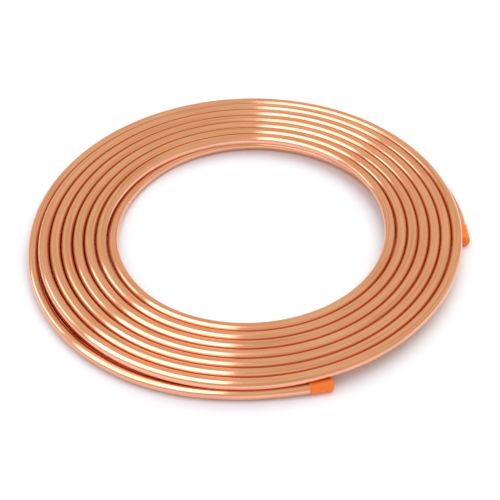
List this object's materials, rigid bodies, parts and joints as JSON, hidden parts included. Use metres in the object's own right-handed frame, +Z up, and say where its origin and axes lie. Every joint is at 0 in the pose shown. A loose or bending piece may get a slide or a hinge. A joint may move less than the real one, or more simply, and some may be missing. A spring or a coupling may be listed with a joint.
{
  "type": "copper tube coil",
  "caption": "Soft copper tube wound flat in a two-layer coil with an open middle, both ends outside and closed by push-on plastic caps.",
  "frame": {"origin": "on the floor, at the centre of the coil's left-hand turns", "axes": "+Z up out of the coil's flat side; +X towards the right, where the lower layer's end lies; -Y towards the front, where the upper layer's end lies"},
  "size_m": [0.517, 0.5091, 0.0266],
  "materials": {
    "copper": "bright, smooth, soft copper",
    "cap_plastic": "soft orange plastic"
  },
  "bodies": {
    "root": {"tube": "copper", "start_cap": "cap_plastic", "finish_cap": "cap_plastic"}
  },
  "joints": []
}
